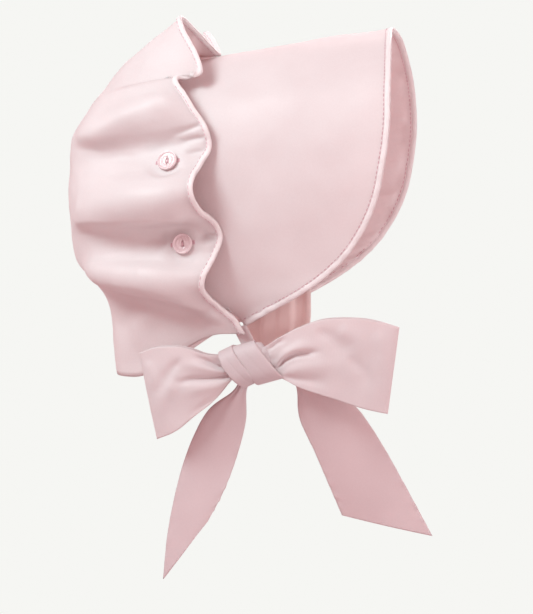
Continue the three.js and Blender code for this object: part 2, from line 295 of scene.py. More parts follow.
def button_seat(t, side):
    """Where a button sits on the crown, and the way it faces."""
    depth = np.linalg.norm(crown_point(t, 0, side) - crown_point(t, 0.1, side))
    r = 0.1 * BUTTON_SETBACK / depth
    centre = crown_point(t, r, side)
    back = crown_point(t, r + 0.05, side) - centre
    above = crown_point(t - 0.2, r, side) if t > 0 else crown_point(0.2, r, -side)
    below = crown_point(t + 0.2, r, side) if t > 0 else crown_point(0.2, r, side)
    if t == 0:
        above[2] = below[2]
    normal = unit(np.cross(back, below - above) * -side)
    return centre, normal, unit(-back)


SEATS = {"button_top": button_seat(0, LEFT)}
for _number, _t in enumerate(SIDE_BUTTON_STATIONS, 1):
    SEATS["button_right_%d" % _number] = button_seat(_t, RIGHT)
    SEATS["button_left_%d" % _number] = button_seat(_t, LEFT)


def press(points, offset):
    """The points moved by the offset, with the cloth flat under each button."""
    for centre, normal, _ in SEATS.values():
        away = points - centre
        height = (away * normal).sum(-1)
        flat = np.sqrt(np.maximum((away ** 2).sum(-1) - height ** 2, 0))
        near = smooth((BUTTON_DIAMETER * 1.2 - flat) / (BUTTON_DIAMETER * 0.55))
        near = np.where(np.abs(height) < BUTTON_DIAMETER, near, 0)[..., None]
        points = points - normal * height[..., None] * near
        offset = offset * (1 - near)
    return points + offset


# The crown's soft pleats hang one over the next on each side. A row of a crest holds forward,
# height, how far it stands out, how far up it swells from, and how far below it tucks in.
CROWN_CRESTS = [
    [[-78, -47, 2.5, 12, 7], [-56, -43, 6.5, 13, 12], [-38, -34, 9.0, 13, 19],
     [-18, -27, 9.0, 12, 24], [0, -20, 6.5, 10, 26], [16, -16, 2.5, 8, 22]],
    [[-78, -98, 2.5, 16, 10], [-56, -93, 6.0, 19, 13], [-32, -91, 7.0, 20, 13],
     [-4, -89, 6.4, 17, 12], [14, -88, 3.4, 13, 11]],
    [[-74, -128, 1.5, 10, 8], [-52, -131, 5.0, 12, 14], [-26, -132, 7.0, 12, 16],
     [-10, -137, 6.5, 12, 16], [8, -147, 4.0, 9, 11], [26, -158, 0.8, 6, 6]],
]
# Finer creases: (forward, height) points, how far each stands out, half widths front and back.
CROWN_FOLDS = [
    ([(11, -36), (0, -40), (-12, -44)], -1.8, 1.4, 2.6),
    ([(13, -44), (3, -46), (-8, -50)], -1.7, 1.3, 2.6),
    ([(12, -52), (3, -54), (-5, -56)], -1.3, 1.2, 2.2),
    ([(24, -104), (9, -105), (-8, -106.5), (-34, -110)], -3.6, 2.2, 5),
    ([(20, -110), (8, -111), (-6, -113)], 1.0, 2.2, 4),
    ([(-30, -58), (-44, -57), (-62, -60)], -1.0, 3, 5),
    ([(16, -150), (2, -152), (-14, -153)], -1.6, 3, 6),
    ([(-20, -150), (-32, -160), (-40, -174)], 1.6, 6, 9),
    ([(-34, -146), (-44, -158), (-48, -176)], -1.2, 4, 7),
]


def crest_offset(forward, height):
    """How far the pleats stand out at points of the side's own plane."""
    total = np.zeros(forward.shape)
    for rows in CROWN_CRESTS:
        rows = np.array(rows, float)
        line, out, above, below = (np.interp(forward, rows[:, 0], rows[:, k])
                                   for k in range(1, 5))
        up = height - line
        swell = np.exp(-(np.maximum(up, 0) / above) ** 1.6)
        tuck = 1 - 1.25 * smooth(-up / below) + 0.25 * smooth((-up - below) / above)
        shown = smooth((forward - rows[0, 0] + 10) / 20) * smooth((rows[-1, 0] + 8 - forward) / 16)
        total += out * np.where(up > 0, swell, tuck) * shown
    return total


def fold_offset(forward, height, folds):
    """The sum of the folds at points of the side's own plane."""
    total = np.zeros(forward.shape)
    for line, depth, front_width, back_width in folds:
        line = np.array(line, float)
        best = np.full(forward.shape, np.inf)
        value = np.zeros(forward.shape)
        lengths = np.linalg.norm(np.diff(line, axis=0), axis=1)
        starts = np.r_[0, np.cumsum(lengths)]
        for k, length in enumerate(lengths):
            step = (line[k + 1] - line[k]) / length
            along = np.clip((forward - line[k, 0]) * step[0] + (height - line[k, 1]) * step[1],
                            0, length)
            away = np.hypot(forward - line[k, 0] - step[0] * along,
                            height - line[k, 1] - step[1] * along)
            share = (starts[k] + along) / starts[-1]
            width = front_width + (back_width - front_width) * share
            fade = smooth(share / 0.25 + 0.15) * smooth((1 - share) / 0.45)
            here = depth * fade * np.exp(-(away / width) ** 2)
            value = np.where(away < best, here, value)
            best = np.minimum(best, away)
        total += value
    return total


CROWN_CELLS = 340
CROWN_DEEP = 62
HEM = 5.5


def edge_stations(cells, side):
    """Stations of the bound edge at even steps along it."""
    fine = np.linspace(0, EDGE_STATIONS, 4000)
    points = crown_point(fine, 0, side)
    along = np.r_[0, np.cumsum(np.linalg.norm(np.diff(points, axis=0), axis=1))]
    return np.interp(np.linspace(0, along[-1], cells + 1), along, fine), \
        np.linspace(0, along[-1], cells + 1)


def crown_sheet():
    """Points, faces and cloth coordinates of the crown, and the shape of its grid."""
    halves = []
    share = np.linspace(0, 1, CROWN_DEEP + 1) ** 1.15
    for side in (RIGHT, LEFT):
        t, along = edge_stations(CROWN_CELLS, side)
        grid = crown_point(t[:, None], share[None], side)
        halves.append((grid, np.broadcast_to(along[:, None] * side, grid.shape[:2])))
    grid = np.concatenate([halves[0][0][::-1], halves[1][0][1:]])
    along = np.concatenate([halves[0][1][::-1], halves[1][1][1:]])
    rows = len(grid)
    number = numbered(grid.shape[:2])
    number[CROWN_CELLS + 1:, -1] = number[:CROWN_CELLS, -1][::-1]
    faces = grid_faces(number)
    points = grid.reshape(-1, 3)
    normals = vertex_normals(points, faces)
    side = np.where(np.arange(rows) < CROWN_CELLS, RIGHT, LEFT)[:, None]
    side = np.broadcast_to(side, grid.shape[:2]).reshape(-1)
    deep = np.broadcast_to(share[None], grid.shape[:2]).reshape(-1)
    forward, height = -points[:, 1], points[:, 2]
    flank = smooth((np.abs(points[:, 0]) - 3) / 26)
    shifted = np.where(side == LEFT, 7.0, 0.0)
    offset = (fold_offset(forward + shifted, height - shifted * 0.6, CROWN_FOLDS)
              + crest_offset(forward - shifted, height + shifted * 0.8)
              * (0.35 + 0.65 * smooth(deep / 0.14))
              * (1 - 0.65 * smooth((deep - 0.6) / 0.35))
              * np.where(side == LEFT, 0.8, 1)) * flank
    offset += ripples(points, 34, 3) * 0.55 * smooth(deep / 0.3)
    offset += ripples(points, 15, 4) * 0.16
    run = along.reshape(-1)
    pucker = ripples(np.stack([run, run * 0 + 3.0], -1), 9.0, 5) * np.exp(-deep / 0.05) * 0.22
    # The flap's bottom is turned up in a narrow hem.
    step = np.linalg.norm(np.diff(grid, axis=0), axis=-1)
    from_end = np.concatenate([np.zeros((1, grid.shape[1])), np.cumsum(step, axis=0)])
    from_end = np.minimum(from_end, from_end[-1] - from_end).reshape(-1)
    hem = 0.5 * smooth((HEM - from_end) / 0.8) * smooth((deep - 0.05) / 0.1)
    offset = (offset + pucker + hem)[:, None] * normals
    points = press(points, offset)
    back = np.concatenate([np.zeros((rows, 1)),
                           np.cumsum(np.linalg.norm(np.diff(points.reshape(grid.shape), axis=1),
                                                    axis=-1), axis=1)], axis=1).reshape(-1)
    uv = np.stack([run, back], -1)
    return points, faces, uv, grid.shape[:2]


def steadied(directions, steps):
    """Directions along a line, each averaged with its neighbours."""
    padded = np.pad(directions, ((steps, steps), (0, 0)), mode="edge")
    window = np.hanning(2 * steps + 3)[1:-1]
    return unit(np.stack([np.convolve(padded[:, k], window / window.sum(), mode="valid")
                          for k in range(3)], -1))


def binding_mesh(name, edge, inside, width, thickness, seed, sides=18):
    """Tape wrapped over an edge: a flat oval section with a rolled outer side."""
    tangent = steadied(unit(np.gradient(edge, axis=0)), 3)
    inward = steadied(unit(inside - edge), 6)
    inward = unit(inward - (inward * tangent).sum(-1, keepdims=True) * tangent)
    normal = np.cross(tangent, inward)
    along = np.r_[0, np.cumsum(np.linalg.norm(np.diff(edge, axis=0), axis=1))]
    angle = np.linspace(0, 2 * np.pi, sides, endpoint=False)
    across = np.sign(np.cos(angle)) * np.abs(np.cos(angle)) ** 0.75
    over = np.sign(np.sin(angle)) * np.abs(np.sin(angle)) ** 0.6
    taper = np.where(across > 0, 1 - 0.28 * across ** 2, 1)
    waver = ripples(np.stack([along, along * 0], -1), 6.0, seed) * 0.10
    plump = 1 + ripples(np.stack([along, along * 0 + 7], -1), 4.2, seed + 1) * 0.06
    tuck = 0.3 + 0.7 * smooth(np.minimum(along, along[-1] - along) / 2.5)
    width, thickness = width * tuck, (thickness * tuck)[:, None]
    centre = edge + inward * (width / 2)[:, None]
    rings = (centre[:, None]
             + inward[:, None] * (across * width[:, None] / 2 + waver[:, None])[..., None]
             + normal[:, None] * (over * taper * thickness / 2 * plump[:, None])[..., None])
    return sweep_mesh(name, rings), along, inward, normal


def resample(curves, step):
    """Curves given side by side, at even steps along the first."""
    along = np.r_[0, np.cumsum(np.linalg.norm(np.diff(curves[0], axis=0), axis=1))]
    s = np.linspace(0, along[-1], int(along[-1] / step) + 1)
    return [np.stack([np.interp(s, along, c[:, k]) for k in range(3)], -1) for c in curves]


def thread_mesh(name, starts, ends, normals, radius, sunk=0.12, segments=4, sides=6):
    """Separate stitches, each a short arch of thread from a start to an end."""
    starts, ends, normals = (np.asarray(v, float) for v in (starts, ends, normals))
    count = len(starts)
    s = np.linspace(0, 1, segments + 1)
    arch = np.sin(s * np.pi) ** 0.6
    centre = (starts[:, None] * (1 - s)[None, :, None] + ends[:, None] * s[None, :, None]
              + normals[:, None] * (radius * 0.9 * arch - sunk * (1 - arch))[None, :, None])
    tangent = unit(ends - starts)
    side = unit(np.cross(tangent, normals))
    angle = np.linspace(0, 2 * np.pi, sides, endpoint=False)
    girth = radius * (0.55 + 0.45 * arch)
    ring = (side[:, None, None] * np.cos(angle)[None, None, :, None]
            + normals[:, None, None] * np.sin(angle)[None, None, :, None])
    points = centre[:, :, None] + ring * girth[None, :, None, None]
    number = numbered((count, segments + 1, sides))
    wrapped = np.concatenate([number, number[:, :, :1]], axis=2)
    faces = np.stack([wrapped[:, :-1, :-1], wrapped[:, 1:, :-1], wrapped[:, 1:, 1:],
                      wrapped[:, :-1, 1:]], -1).reshape(-1, 4)
    caps = []
    for k in range(1, sides // 2):
        a, b, c, d = k - 1, k, sides - 1 - k, (sides - k) % sides
        caps.append(np.stack([number[:, 0, v] for v in (d, a, b, c)], -1))
        caps.append(np.stack([number[:, -1, v] for v in (a, d, c, b)], -1))
    uv = np.zeros((points.reshape(-1, 3).shape[0], 2))
    return write_mesh(name, points.reshape(-1, 3), np.vstack([faces, *caps]), uv)


def stitch_line(edge, inward, normal, along, inset, lift, length=2.3, gap=0.75):
    """Starts, ends and normals of the stitches that run beside a bound edge, on both faces."""
    starts, ends, ups = [], [], []
    for face, off in ((1, lift), (-1, lift)):
        line = edge + inward * inset + normal * face * off
        s = np.arange(1.0, along[-1] - length, length + gap)
        pick = lambda values, at: np.stack([np.interp(at, along, values[:, k])
                                            for k in range(3)], -1)
        share = np.linalg.norm(pick(line, s + length) - pick(line, s), axis=1) / length
        s = s[(share > 0.65) & (share < 1.4)]
        starts.append(pick(line, s))
        ends.append(pick(line, s + length))
        ups.append(unit(pick(normal, s + length / 2)) * face)
    return np.vstack(starts), np.vstack(ends), np.vstack(ups)


# ---------------------------------------------------------------- brim

BRIM_CELLS = 300
BRIM_DEEP = 84


def brim_point(u, v):
    """u from the right jaw (-1) over the top to the left jaw (1), v from back to front."""
    u, v = np.broadcast_arrays(np.asarray(u, float), np.asarray(v, float))
    t = np.abs(u) * (len(BRIM_FRONT) - 1)
    back, front = side_spline(BRIM_BACK, t), side_spline(BRIM_FRONT, t)
    drop = np.where(u > 0, BRIM_LEFT_DROP * v * np.sin(u * np.pi), 0)
    point = back + (front - back) * v[..., None]
    return np.stack([np.sign(u) * point[..., 0], point[..., 1] - 0.25 * drop,
                     point[..., 2] - drop], -1)


def brim_sheet():
    fine = np.linspace(-1, 1, 4001)
    front = brim_point(fine, 1)
    along = np.r_[0, np.cumsum(np.linalg.norm(np.diff(front, axis=0), axis=1))]
    run = np.linspace(0, along[-1], BRIM_CELLS + 1)
    u = np.interp(run, along, fine)
    v = 1 - np.linspace(0, 1, BRIM_DEEP + 1) ** 1.1
    grid = brim_point(u[:, None], v[None])
    faces = grid_faces(numbered(grid.shape[:2]))
    points = grid.reshape(-1, 3)
    normals = vertex_normals(points, faces)
    deep = np.broadcast_to(v[None], grid.shape[:2]).reshape(-1)
    run = np.broadcast_to(run[:, None], grid.shape[:2]).reshape(-1)
    offset = ripples(points, 75, 11) * 1.3 * np.sin(np.pi * np.clip(deep, 0.02, 0.98)) ** 0.6
    offset += ripples(points, 20, 12) * 0.10
    offset += ripples(np.stack([run, run * 0], -1), 8.0, 13) * np.exp(-(1 - deep) / 0.035) * 0.16
    points = points + offset[:, None] * normals
    slack = ripples(np.stack([run, deep * 90], -1), np.array([11.0, 60.0]), 14)
    tight = ripples(np.stack([run, deep * 60], -1), np.array([6.5, 40.0]), 15)
    wall = (BRIM_WALL + 0.5 * slack * smooth((1 - deep - 0.035) / 0.03) * smooth(deep / 0.1)
            + 0.5 * np.abs(tight) * smooth((1 - deep - 0.035) / 0.03)
            * np.exp(-((1 - deep - 0.085) / 0.04) ** 2))
    uv = np.stack([run, deep * 110], -1)
    return points, faces, uv, grid.shape[:2], wall


# ---------------------------------------------------------------- bow and ties

KNOT_CENTRE = np.array([-60, -40.7, -182.5])
KNOT_LENGTH, KNOT_WIDTH, KNOT_DEPTH, KNOT_TILT = 32, 24, 18, -0.81
LOOP_DEPTH, LOOP_PUFF, TAIL_CURL = 7, 2.5, 2.5
RIBBON_WIDTH, LOOP_LENGTH, TAIL_LENGTH, TIE_LENGTH = 50, 150, 130, 110
LOOP_CELLS, TAIL_CELLS = (180, 60), (120, 40)

# Borders in the bow's plane, forward and up from the knot's centre.
LOOPS = {
    "bow_loop_back": (
        [[-7, 3], [-17, 5], [-28, 6], [-41, 10], [-57, 10], [-69.5, 6]],
        [[-6, -6], [-13, -11], [-23, -22.5], [-37, -34], [-47, -42], [-58.5, -47]]),
    "bow_loop_front": (
        [[4, 8], [14.6, 14.5], [27, 21.7], [45, 27.8], [68, 28.5], [91, 23.5]],
        [[8, -4], [20.5, -9], [32, -14.5], [50, -20], [67, -25.5], [84, -29.5]]),
}
TAILS = {
    "tail_back": (
        [[-6, -7], [-12, -17], [-29, -31], [-43, -61], [-52, -100], [-55.5, -133.5]],
        [[2, -7], [-3.5, -17], [-4.5, -36], [-11, -60], [-18.5, -80], [-27.5, -97.5]],
        [0, -4, -7, -9, -6, -4]),
    "tail_front": (
        [[22, -6], [26.5, -16], [28, -34], [37, -55], [46, -77], [53, -94.5]],
        [[36, -8], [46, -14], [63, -27], [78, -49], [94, -78], [109, -106.5]],
        [-10, -11, -13, -16, -19, -22]),
}
TIES = {
    "tie_right": [
        [[-48.8, -27, -160.5], [-48.8, -36, -160]], [[-48.4, -32, -170], [-48.4, -41, -169.5]],
        [[-48.6, -36, -178], [-48.6, -44, -177.5]]],
    "tie_left": [
        [[45, -20, -153], [50, -63, -143]], [[31, -22, -176], [36, -63, -167]],
        [[-5, -38, -181], [-4, -53, -174]], [[-30, -38, -180], [-30, -49, -174]],
        [[-45.5, -37, -179], [-45.5, -46, -174]]],
}

# Creases of the bow's cloth: points (forward, up) from the knot, height and half width.
LOOP_CREASES = {
    "bow_loop_back": [
        ([(-9, -3), (-20, -1.5), (-30, 3), (-38, 5)], -2.4, 0.9, 2.0),
        ([(-9, -5), (-22, -3.5), (-34, -1), (-46, 0)], 1.8, 1.8, 4.5),
        ([(-9, -7), (-22, -8.5), (-36, -9.5), (-50, -13)], -2.4, 0.9, 2.4),
        ([(-9, -9), (-20, -13), (-34, -16), (-46, -20)], 1.6, 2.0, 5),
        ([(-8, -10), (-17, -17), (-28, -25), (-40, -34)], -1.5, 1.1, 3),
        ([(-10, 1), (-22, 5), (-34, 8)], 1.0, 1.6, 3),
        ([(-42, 4), (-52, -8), (-58, -22)], -1.4, 2.4, 5),
        ([(-46, -10), (-54, -22), (-58, -36)], 1.4, 4, 6),
        ([(-64, 2), (-60, -10), (-58, -20)], 1.0, 3, 5),
    ],
    "bow_loop_front": [
        ([(16, -3.5), (21, 3), (27, 6.3), (36, 7.6), (46, 8.5)], -3.0, 0.9, 2.4),
        ([(16, 0), (22, 7), (30, 11), (44, 13)], 1.6, 1.8, 4.5),
        ([(11, 9), (16, 13), (24, 17)], -1.4, 1.0, 2.0),
        ([(18, -6), (30, -2), (46, 0), (60, -2)], 1.5, 2.4, 7),
        ([(19, -7), (32, -9), (52, -11)], -1.3, 1.4, 4),
        ([(40, 22), (50, 17), (56, 10), (58, 0)], -1.5, 3.0, 6),
        ([(54, 24), (66, 16), (72, 2)], 1.4, 4.5, 7),
        ([(60, 6), (70, -4), (74, -18)], -1.3, 3.0, 6),
        ([(78, 22), (82, 8), (80, -10)], 0.9, 4, 6),
    ],
}

# The knot's two bands: middles and widths along the band, then reach, depth, shift and slant.
KNOT_SLANT = np.array([0.615, -0.789])     # the way the bands run, from above to below
KNOT_BANDS = {
    "knot_band_wide": ([3, 3, 3, 3.2, 3.5], [13.5, 15.2, 15.8, 16, 15], 14.6, 9.8, 1.4, 0.4),
    "knot_band_narrow": ([-6, -7.2, -8.6, -7.8, -6.6], [8, 9.6, 11.0, 9.6, 7.5], 13.8, 11.0, -1.4,
                         0.2),
}


def grid_shares(cells):
    """The shares of the way along and across at a grid's vertices."""
    return np.linspace(0, 1, cells[0] + 1)[:, None], np.linspace(0, 1, cells[1] + 1)[None]


def bow_point(forward, up, out):
    return KNOT_CENTRE + np.stack([-out, -forward, up], -1)


def loop_sheet(name):
    """Ribbon that runs out over the front layer, folds, and comes back behind it."""
    upper, lower = LOOPS[name]
    along, across = grid_shares(LOOP_CELLS)
    angle = np.pi * along
    reach = np.sin(angle) * (len(upper) - 1)
    top, bottom = spline(upper, reach), spline(lower, reach)
    place = top + (bottom - top) * across[..., None]
    opening = 1.5 + LOOP_DEPTH * np.sin(angle) ** 0.6
    puff = LOOP_PUFF * np.sin(np.pi * across) * np.sin(angle)
    out = np.cos(angle) * (opening + puff)
    front = smooth((np.cos(angle) + 0.25) / 0.5)
    crease = fold_offset(place[..., 0], place[..., 1], LOOP_CREASES[name])
    pleats = np.sin(across * 2 * np.pi * 3.4 + 1.1) * np.exp(-reach / 0.55) * 1.1
    out = out + (crease + pleats * 0.5) * front + (pleats - crease * 0.4) * (front - 1)
    points = bow_point(place[..., 0], place[..., 1], out)
    points = points + (ripples(points, 26, 21) * 0.35 * np.sin(angle))[..., None] * [1, 0, 0.3]
    uv = np.stack(np.broadcast_arrays(along * LOOP_LENGTH, across * RIBBON_WIDTH),
                  -1).reshape(-1, 2)
    faces = grid_faces(numbered(points.shape[:2]))
    if name == "bow_loop_front":
        faces = faces[:, ::-1]
    return points, faces, uv


def tail_sheet(name):
    left, right, out = TAILS[name]
    along, across = grid_shares(TAIL_CELLS)
    t = along * (len(left) - 1)
    a, b = spline(left, t), spline(right, t)
    place = a + (b - a) * across[..., None]
    depth = spline([[v] for v in out], t)[..., 0] + TAIL_CURL * np.sin(np.pi * across)
    pleats = np.sin(across * 2 * np.pi * 2.3 + 0.4) * np.exp(-along / 0.2) * 1.3
    drift = np.sin(across * np.pi * 1.4 + along * 2.6) * np.sin(np.pi * along) * 0.9
    edge = np.exp(-np.minimum(across, 1 - across) * RIBBON_WIDTH / 2.2)
    run = np.stack(np.broadcast_arrays(along * TAIL_LENGTH, across * 0), -1)
    hem = edge * ripples(run, 9, 31) * 0.25
    points = bow_point(place[..., 0], place[..., 1], depth + pleats + drift + hem)
    uv = np.stack(np.broadcast_arrays(along * TAIL_LENGTH, across * RIBBON_WIDTH),
                  -1).reshape(-1, 2)
    return points, grid_faces(numbered(points.shape[:2])), uv


def tie_sheet(name):
    sections = TIES[name]
    along, across = grid_shares(TAIL_CELLS)
    t = along * (len(sections) - 1)
    a, b = (spline([section[k] for section in sections], t) for k in (0, 1))
    points = a + (b - a) * across[..., None]
    faces = grid_faces(numbered(points.shape[:2]))
    if name == "tie_left":
        # Folded flat in strips: the hindmost lies deepest, and one fold stays in shade.
        folds = [(0, 10), (0.26, 8), (0.31, 0.6), (0.50, 0), (0.54, -1.2), (0.70, -1.8),
                 (0.73, -1.2), (0.77, 2.8), (0.89, 2.6), (0.93, -1.0), (1, -0.6)]
        depth = np.interp(across + 0 * along, *np.array(folds).T) * (1 - smooth(along / 0.6))
        points[..., 0] += depth
    uv = np.stack(np.broadcast_arrays(along * TIE_LENGTH, across * RIBBON_WIDTH),
                  -1).reshape(-1, 2)
    return points, faces, uv


def ribbon_mesh(name, sheet, wall=RIBBON_WALL):
    points, faces, uv = sheet
    return cloth_mesh(name, points.reshape(-1, 3), faces, wall, uv)


def band_mesh(name, middles, widths, reach, depth, shift, slant):
    """A band of folded ribbon laid over the knot, from behind it above to behind it below."""
    across_way = np.array([-KNOT_SLANT[1], KNOT_SLANT[0]])
    turn = np.radians(np.linspace(-118, 118, 141))[:, None]
    k = np.linspace(0, len(middles) - 1, 141)
    middle, width = (spline([[v] for v in values], k) for values in (middles, widths))
    s = np.linspace(-1, 1, 57)[None]
    across = middle + s * width / 2
    rounded = lambda v: np.sign(v) * np.abs(v) ** 0.78
    along = reach * rounded(np.sin(turn)) + shift + slant * (across - 3)
    arch = (1 - np.abs(s) ** 7) ** 0.5
    crease = -0.10 * np.exp(-((s - 0.25 * np.sin(turn)) / 0.12) ** 2)
    out = depth * rounded(np.cos(turn)) + (arch - 1) * 1.0 + crease * np.cos(turn)
    place = along[..., None] * KNOT_SLANT + across[..., None] * across_way
    points = bow_point(place[..., 0], place[..., 1], out)
    uv = np.stack(np.broadcast_arrays(k[:, None] * 12, s * 12), -1).reshape(-1, 2)
    return cloth_mesh(name, points.reshape(-1, 3), grid_faces(numbered(points.shape[:2])), 1.2, uv)


def knot_mesh(name):
    """The gathered core that the knot's bands are wrapped over."""
    lat = np.linspace(0.02, np.pi - 0.02, 91)[:, None]
    lon = np.linspace(0, 2 * np.pi, 160, endpoint=False)[None]
    power = lambda v: np.sign(v) * np.abs(v) ** 0.72
    y = -np.cos(lat) + lon * 0
    x, z = np.sin(lat) * np.cos(lon), np.sin(lat) * np.sin(lon)
    core = np.stack([power(x) * KNOT_DEPTH / 2, power(y) * KNOT_LENGTH / 2,
                     power(z) * KNOT_WIDTH / 2], -1)
    radial = unit(core / np.array([KNOT_DEPTH, KNOT_LENGTH, KNOT_WIDTH]) ** 1.4)
    gather = ripples(core, np.array([9.0, 40.0, 5.0]), 41) * 0.4 - 2.4
    points = core + radial * gather[..., None]
    c, s = math.cos(KNOT_TILT), math.sin(KNOT_TILT)
    points = points @ np.array([[1, 0, 0], [0, c, -s], [0, s, c]]).T + KNOT_CENTRE
    return sweep_mesh(name, points)


# ---------------------------------------------------------------- buttons


def button_mesh(name, centre, normal, forward):
    """A fish-eye shirt button: a rounded rim, a ring, and a lens-shaped hollow with two holes."""
    radius = BUTTON_DIAMETER / 2
    rho = np.concatenate([np.linspace(0, 0.52, 22), np.linspace(0.54, 1, 26)])[:, None] * radius
    theta = np.linspace(0, 2 * np.pi, 96, endpoint=False)[None]
    x, y = rho * np.cos(theta), rho * np.sin(theta)
    share = rho / radius + theta * 0
    top = np.interp(share, [0, 0.44, 0.50, 0.56, 0.66, 0.76, 0.86, 0.94, 0.985, 1],
                    [1.30, 1.34, 1.62, 1.66, 1.45, 1.50, 2.05, 2.15, 1.80, 1.25])
    lens = np.hypot(np.abs(x) + 3.0, y) - 4.15          # inside where below zero, tall in y
    top = top - 0.75 * smooth(-lens / 0.5 + 0.3)
    for sign in (-1, 1):
        hole = np.hypot(x, y - sign * 1.25)
        top = top - 0.75 * smooth((0.62 - hole) / 0.25)
    front = np.stack([x, y, top], -1)
    back_rho = np.linspace(1, 0.0, 10)[:, None] * radius
    back_height = np.interp(back_rho / radius + theta * 0, [0, 0.8, 1], [0, 0.05, 0.85])
    back = np.stack([back_rho * np.cos(theta), back_rho * np.sin(theta), back_height], -1)
    rings = np.concatenate([front, back])
    side = unit(np.cross(normal, forward))
    forward = np.cross(side, normal)
    # The lens stands upright: its long axis runs across the way to the bound edge.
    rings = (rings[..., :1] * forward + rings[..., 1:2] * side + rings[..., 2:] * normal
             + centre + normal * 0.25)
    return sweep_mesh(name, rings)


def button_thread(seats):
    """The strands of thread that show in each button's hollow."""
    starts, ends, ups = [], [], []
    for centre, normal, forward in seats:
        side = unit(np.cross(normal, forward))
        forward = np.cross(side, normal)
        for k in (-0.28, 0.0, 0.28):
            starts.append(centre + normal * 0.95 + side * -1.45 + forward * k)
            ends.append(centre + normal * 0.95 + side * 1.45 + forward * k)
            ups.append(normal)
    return starts, ends, ups


def buttonhole_stitches(seats):
    """Satin stitches on both sides of each buttonhole's slit, and a bar at each of its ends."""
    starts, ends, ups = [], [], []
    for centre, normal, forward in seats:
        side = unit(np.cross(normal, forward))
        forward = np.cross(side, normal)
        for s in np.arange(-6.6, 6.61, 0.36):
            for face in (-1, 1):
                starts.append(centre + forward * s + side * face * 0.25)
                ends.append(centre + forward * s + side * face * 1.35)
                ups.append(normal)
        for bar in (-7.3, 7.3):
            for s in np.arange(-0.55, 0.56, 0.3):
                starts.append(centre + forward * (bar + s) - side * 1.5)
                ends.append(centre + forward * (bar + s) + side * 1.5)
                ups.append(normal)
    return starts, ends, ups


# ---------------------------------------------------------------- materials


SLUB_SCALE = 900


def new_material(name):
    material = bpy.data.materials.new(name)
    material.use_nodes = True
    nodes, links = material.node_tree.nodes, material.node_tree.links
    return material, nodes, links, nodes["Principled BSDF"], nodes["Material Output"]


def add_node(nodes, kind, **values):
    node = nodes.new(kind)
    for key, value in values.items():
        if hasattr(node, key):
            setattr(node, key, value)
        else:
            node.inputs[key].default_value = value
    return node


def cotton(name, low, high, weave=0.55, bump=0.22, translucent=0.0, sheen=0.25,
           glow=(0.96, 0.50, 0.48)):
    """Plain-woven cotton: crossed yarns, slubs and a faint unevenness of colour."""
    material, nodes, links, shader, output = new_material(name)
    uv = add_node(nodes, "ShaderNodeUVMap", uv_map="cloth")
    place = add_node(nodes, "ShaderNodeTexCoord")
    cloudy = add_node(nodes, "ShaderNodeTexNoise", Scale=38.0, Detail=3.0)
    links.new(place.outputs["Object"], cloudy.inputs["Vector"])
    slub = add_node(nodes, "ShaderNodeTexNoise", Scale=SLUB_SCALE, Detail=2.0)
    links.new(place.outputs["Object"], slub.inputs["Vector"])
    mixed = add_node(nodes, "ShaderNodeMath", operation="ADD")
    part = add_node(nodes, "ShaderNodeMath", operation="MULTIPLY")
    part.inputs[1].default_value = 0.35
    links.new(slub.outputs["Fac"], part.inputs[0])
    whole = add_node(nodes, "ShaderNodeMath", operation="MULTIPLY")
    whole.inputs[1].default_value = 0.65
    links.new(cloudy.outputs["Fac"], whole.inputs[0])
    links.new(part.outputs[0], mixed.inputs[0])
    links.new(whole.outputs[0], mixed.inputs[1])
    ramp = add_node(nodes, "ShaderNodeValToRGB")
    ramp.color_ramp.elements[0].position, ramp.color_ramp.elements[1].position = 0.36, 0.64
    ramp.color_ramp.elements[0].color = (*low, 1)
    ramp.color_ramp.elements[1].color = (*high, 1)
    links.new(mixed.outputs[0], ramp.inputs["Fac"])
    links.new(ramp.outputs["Color"], shader.inputs["Base Color"])
    # Yarns run both ways along the cloth, whose coordinates are in millimetres.
    height = None
    for direction in ("X", "Y"):
        wave = add_node(nodes, "ShaderNodeTexWave", wave_type="BANDS", bands_direction=direction,
                        Scale=weave, Distortion=0.8, Detail=1.0)
        wave.inputs["Detail Scale"].default_value = 0.6
        links.new(uv.outputs["UV"], wave.inputs["Vector"])
        if height is None:
            height = wave.outputs["Fac"]
        else:
            both = add_node(nodes, "ShaderNodeMath", operation="ADD")
            links.new(height, both.inputs[0])
            links.new(wave.outputs["Fac"], both.inputs[1])
            height = both.outputs[0]
    rough = add_node(nodes, "ShaderNodeMath", operation="MULTIPLY")
    rough.inputs[1].default_value = 1.4
    links.new(slub.outputs["Fac"], rough.inputs[0])
    total = add_node(nodes, "ShaderNodeMath", operation="ADD")
    links.new(height, total.inputs[0])
    links.new(rough.outputs[0], total.inputs[1])
    bumper = add_node(nodes, "ShaderNodeBump", Strength=bump, Distance=0.00008)
    links.new(total.outputs[0], bumper.inputs["Height"])
    links.new(bumper.outputs["Normal"], shader.inputs["Normal"])
    shader.inputs["Roughness"].default_value = 0.5
    shader.inputs["Specular IOR Level"].default_value = 0.5
    shader.inputs["Sheen Weight"].default_value = sheen
    shader.inputs["Sheen Roughness"].default_value = 0.5
    shader.inputs["Sheen Tint"].default_value = (1, 0.93, 0.94, 1)
    if translucent:
        through = add_node(nodes, "ShaderNodeBsdfTranslucent")
        through.inputs["Color"].default_value = (*glow, 1)
        links.new(bumper.outputs["Normal"], through.inputs["Normal"])
        mix = add_node(nodes, "ShaderNodeMixShader")
        mix.inputs["Fac"].default_value = translucent
        links.new(shader.outputs["BSDF"], mix.inputs[1])
        links.new(through.outputs["BSDF"], mix.inputs[2])
        links.new(mix.outputs["Shader"], output.inputs["Surface"])
    return material


